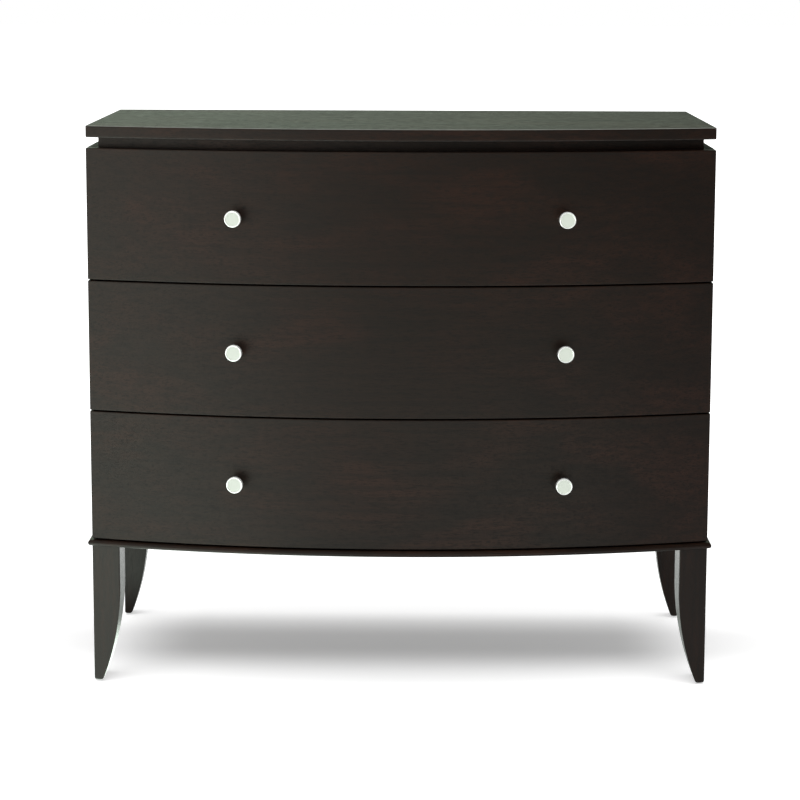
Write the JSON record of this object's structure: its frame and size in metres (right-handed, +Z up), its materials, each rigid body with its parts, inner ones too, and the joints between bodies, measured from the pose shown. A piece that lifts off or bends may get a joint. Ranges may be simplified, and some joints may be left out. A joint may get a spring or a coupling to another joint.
{
  "type": "chest of drawers",
  "caption": "Bow-front chest of full-overlay drawers on sabre legs, with a recessed neck, beaded base and round metal knobs; its drawers run on telescopic slides.",
  "frame": {"origin": "on the floor, under the middle of the bounding box", "axes": "+X to the right seen from the front, -Y towards the front, +Z up"},
  "size_m": [1.0158, 0.5066, 0.914],
  "materials": {
    "espresso_wood": "semi-gloss lacquer over dark stain",
    "drawer_maple": "clear satin lacquer",
    "drawer_plywood": "clear satin lacquer",
    "back_plywood": "stained, matt",
    "polished_nickel": "polished",
    "zinc_steel": "zinc plated",
    "glide_nylon": "matt"
  },
  "bodies": {
    "case": {"top_slab": "espresso_wood", "neck_front_rail": "espresso_wood", "neck_back_rail": "espresso_wood", "neck_left_rail": "espresso_wood", "neck_right_rail": "espresso_wood", "left_side_panel": "espresso_wood", "right_side_panel": "espresso_wood", "case_top_panel": "espresso_wood", "case_bottom_panel": "espresso_wood", "upper_divider_rail": "espresso_wood", "lower_divider_rail": "espresso_wood", "back_panel": "back_plywood", "base_board": "espresso_wood", "front_left_leg": "espresso_wood", "front_right_leg": "espresso_wood", "back_left_leg": "espresso_wood", "back_right_leg": "espresso_wood", "foot_glides": "glide_nylon", "bottom_slide_case_channels": "zinc_steel", "middle_slide_case_channels": "zinc_steel", "top_slide_case_channels": "zinc_steel"},
    "bottom_drawer": {"bottom_drawer_front": "espresso_wood", "bottom_drawer_left_side": "drawer_maple", "bottom_drawer_right_side": "drawer_maple", "bottom_drawer_back": "drawer_maple", "bottom_drawer_bottom": "drawer_plywood", "bottom_drawer_knobs": "polished_nickel", "bottom_drawer_knob_screws": "zinc_steel", "bottom_slide_drawer_channels": "zinc_steel"},
    "bottom_slide_middle": {"bottom_slide_middle_channels": "zinc_steel"},
    "middle_drawer": {"middle_drawer_front": "espresso_wood", "middle_drawer_left_side": "drawer_maple", "middle_drawer_right_side": "drawer_maple", "middle_drawer_back": "drawer_maple", "middle_drawer_bottom": "drawer_plywood", "middle_drawer_knobs": "polished_nickel", "middle_drawer_knob_screws": "zinc_steel", "middle_slide_drawer_channels": "zinc_steel"},
    "middle_slide_middle": {"middle_slide_middle_channels": "zinc_steel"},
    "top_drawer": {"top_drawer_front": "espresso_wood", "top_drawer_left_side": "drawer_maple", "top_drawer_right_side": "drawer_maple", "top_drawer_back": "drawer_maple", "top_drawer_bottom": "drawer_plywood", "top_drawer_knobs": "polished_nickel", "top_drawer_knob_screws": "zinc_steel", "top_slide_drawer_channels": "zinc_steel"},
    "top_slide_middle": {"top_slide_middle_channels": "zinc_steel"}
  },
  "joints": [
    {"name": "bottom_drawer_slide", "type": "slide", "parent": "case", "child": "bottom_drawer", "axis": [0, -1, 0], "range_m": [0, 0.35]},
    {"name": "bottom_middle_channel_slide", "type": "slide", "parent": "case", "child": "bottom_slide_middle", "axis": [0, -1, 0], "range_m": [0, 0.176]},
    {"name": "middle_drawer_slide", "type": "slide", "parent": "case", "child": "middle_drawer", "axis": [0, -1, 0], "range_m": [0, 0.35]},
    {"name": "middle_middle_channel_slide", "type": "slide", "parent": "case", "child": "middle_slide_middle", "axis": [0, -1, 0], "range_m": [0, 0.176]},
    {"name": "top_drawer_slide", "type": "slide", "parent": "case", "child": "top_drawer", "axis": [0, -1, 0], "range_m": [0, 0.35]},
    {"name": "top_middle_channel_slide", "type": "slide", "parent": "case", "child": "top_slide_middle", "axis": [0, -1, 0], "range_m": [0, 0.176]}
  ],
  "couplings": [
    {"joint": "bottom_middle_channel_slide", "follows": "bottom_drawer_slide", "ratio": 0.5},
    {"joint": "middle_middle_channel_slide", "follows": "middle_drawer_slide", "ratio": 0.5},
    {"joint": "top_middle_channel_slide", "follows": "top_drawer_slide", "ratio": 0.5}
  ]
}
